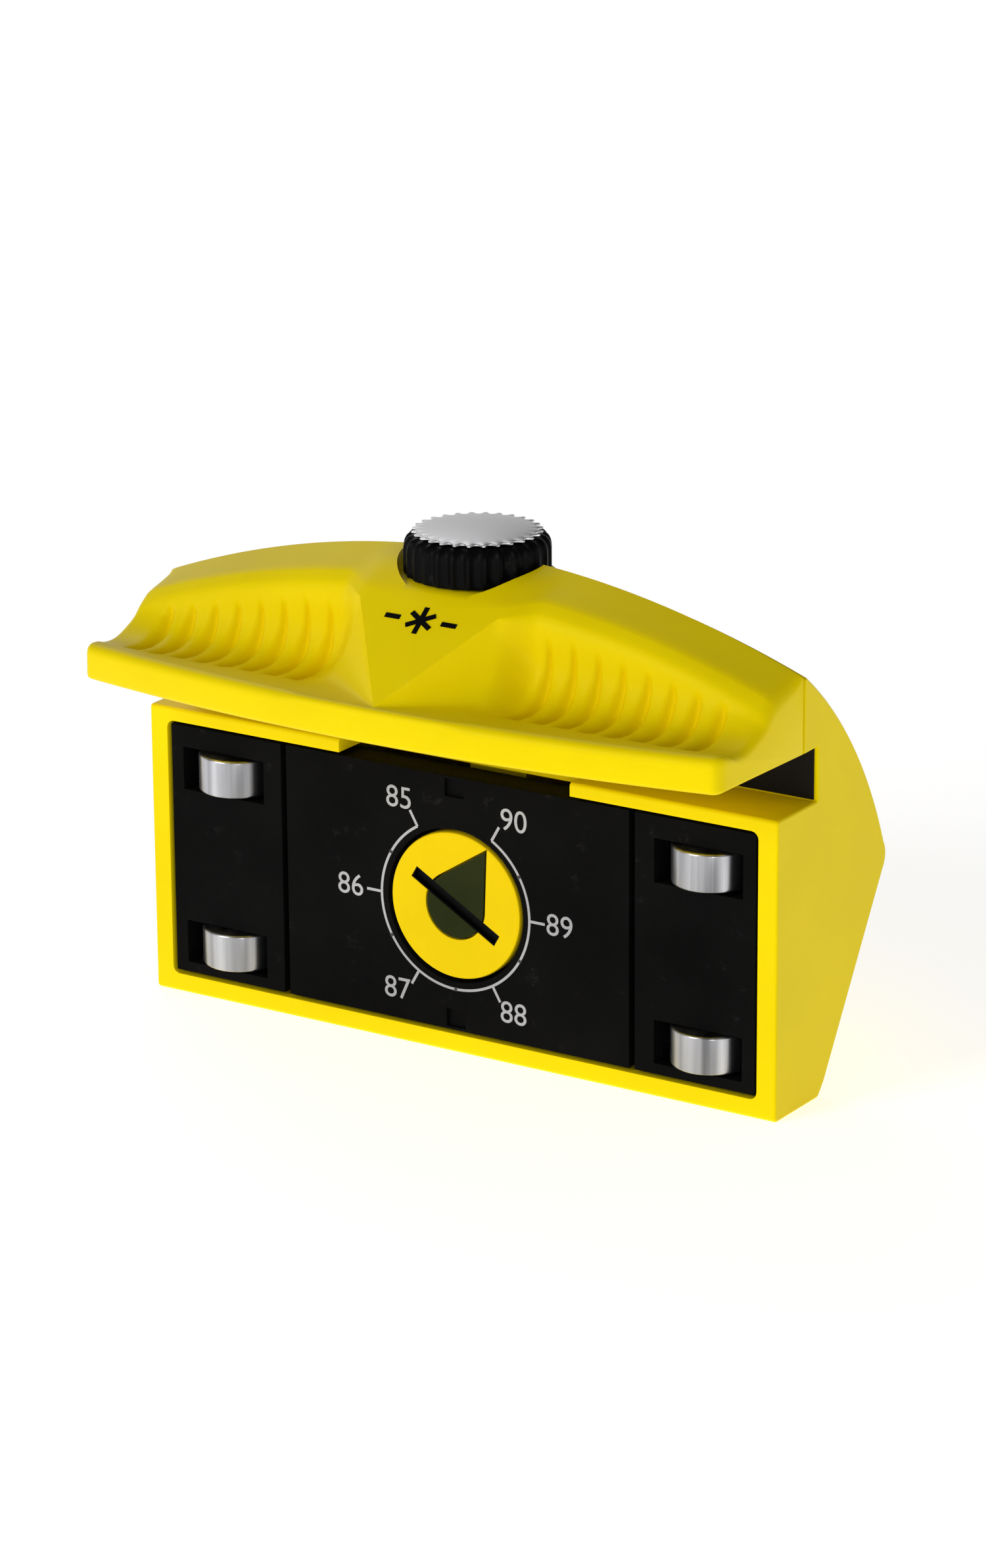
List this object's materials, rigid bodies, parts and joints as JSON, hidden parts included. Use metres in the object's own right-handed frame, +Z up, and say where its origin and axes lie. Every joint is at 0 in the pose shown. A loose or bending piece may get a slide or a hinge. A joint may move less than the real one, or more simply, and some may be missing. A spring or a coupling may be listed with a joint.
{
  "type": "ski edge tuner",
  "caption": "Hand-held ski edge file guide: moulded winged handle, tilting base plate on steel rollers, angle dial, and a fluted knob that clamps a file in a through slot.",
  "frame": {"origin": "middle of the object's box, on its underside, where the housing stands on its bottom bar", "axes": "+X along the file and the handle, to the right as seen from the rollers; +Y from the roller plate to the back; +Z up, from the bottom bar to the knob"},
  "size_m": [0.1114, 0.0541, 0.0805],
  "materials": {
    "yellow_plastic": "satin moulded",
    "black_plastic": "fine moulded grain",
    "dark_inlay": "smooth",
    "satin_aluminium": "satin",
    "roller_steel": "bright turned",
    "plated_steel": "zinc plated",
    "spring_steel": "drawn wire",
    "brass": "turned",
    "pad_rubber": "moulded",
    "white_acetal": "smooth"
  },
  "bodies": {
    "housing": {"rear_body": "yellow_plastic", "front_handle": "yellow_plastic", "handle_screw_inner_left": "plated_steel", "handle_screw_inner_right": "plated_steel", "handle_screw_outer_left": "plated_steel", "handle_screw_outer_right": "plated_steel", "thrust_washer": "plated_steel", "cam_anvil": "plated_steel", "hinge_pin_left": "plated_steel", "hinge_pin_right": "plated_steel", "torsion_spring_left": "spring_steel", "torsion_spring_right": "spring_steel"},
    "base_plate": {"tilt_plate": "black_plastic", "roller_cover_left": "black_plastic", "roller_cover_right": "black_plastic", "cover_screw_lower_left": "plated_steel", "cover_screw_lower_right": "plated_steel", "cover_screw_upper_left": "plated_steel", "cover_screw_upper_right": "plated_steel", "roller_pin_lower_left": "plated_steel", "roller_pin_lower_right": "plated_steel", "roller_pin_upper_left": "plated_steel", "roller_pin_upper_right": "plated_steel"},
    "roller_lower_left": {"roller_lower_left": "roller_steel"},
    "roller_lower_right": {"roller_lower_right": "roller_steel"},
    "roller_upper_left": {"roller_upper_left": "roller_steel"},
    "roller_upper_right": {"roller_upper_right": "roller_steel"},
    "dial": {"dial": "yellow_plastic", "dial_pointer": "dark_inlay", "angle_cam": "white_acetal", "cam_screw": "plated_steel"},
    "knob": {"knob": "black_plastic", "knob_cap": "satin_aluminium", "knob_insert": "brass"},
    "shoe": {"clamp_stud": "plated_steel", "clamp_shoe": "plated_steel", "shoe_pad": "pad_rubber", "guide_pin_left": "plated_steel", "guide_pin_right": "plated_steel"}
  },
  "joints": [
    {"name": "plate_tilt", "type": "hinge", "parent": "housing", "child": "base_plate", "pos_m": [0, -0.0005, 0.0418], "axis": [-1, 0, 0], "range_deg": [0, 5]},
    {"name": "dial_turn", "type": "hinge", "parent": "base_plate", "child": "dial", "pos_m": [0, -0.00475, 0.0233], "axis": [0, 1, 0], "range_deg": [0, 300]},
    {"name": "knob_turn", "type": "hinge", "parent": "housing", "child": "knob", "pos_m": [0, 0.00215, 0.0735], "axis": [0, 0, -1], "range_deg": [0, 2250]},
    {"name": "shoe_slide", "type": "slide", "parent": "housing", "child": "shoe", "axis": [0, 0, -1], "range_m": [0, 0.005]},
    {"name": "roller_spin_lower_left", "type": "hinge", "parent": "base_plate", "child": "roller_lower_left", "pos_m": [-0.0423, -0.00085, 0.0086], "axis": [0, 0, 1], "continuous": true},
    {"name": "roller_spin_lower_right", "type": "hinge", "parent": "base_plate", "child": "roller_lower_right", "pos_m": [0.0423, -0.00085, 0.0086], "axis": [0, 0, 1], "continuous": true},
    {"name": "roller_spin_upper_left", "type": "hinge", "parent": "base_plate", "child": "roller_upper_left", "pos_m": [-0.0423, -0.00085, 0.0367], "axis": [0, 0, 1], "continuous": true},
    {"name": "roller_spin_upper_right", "type": "hinge", "parent": "base_plate", "child": "roller_upper_right", "pos_m": [0.0423, -0.00085, 0.0367], "axis": [0, 0, 1], "continuous": true}
  ],
  "couplings": [
    {"joint": "plate_tilt", "follows": "dial_turn", "ratio": 0.016666},
    {"joint": "shoe_slide", "follows": "knob_turn", "m_per_rad": 0.000127}
  ]
}
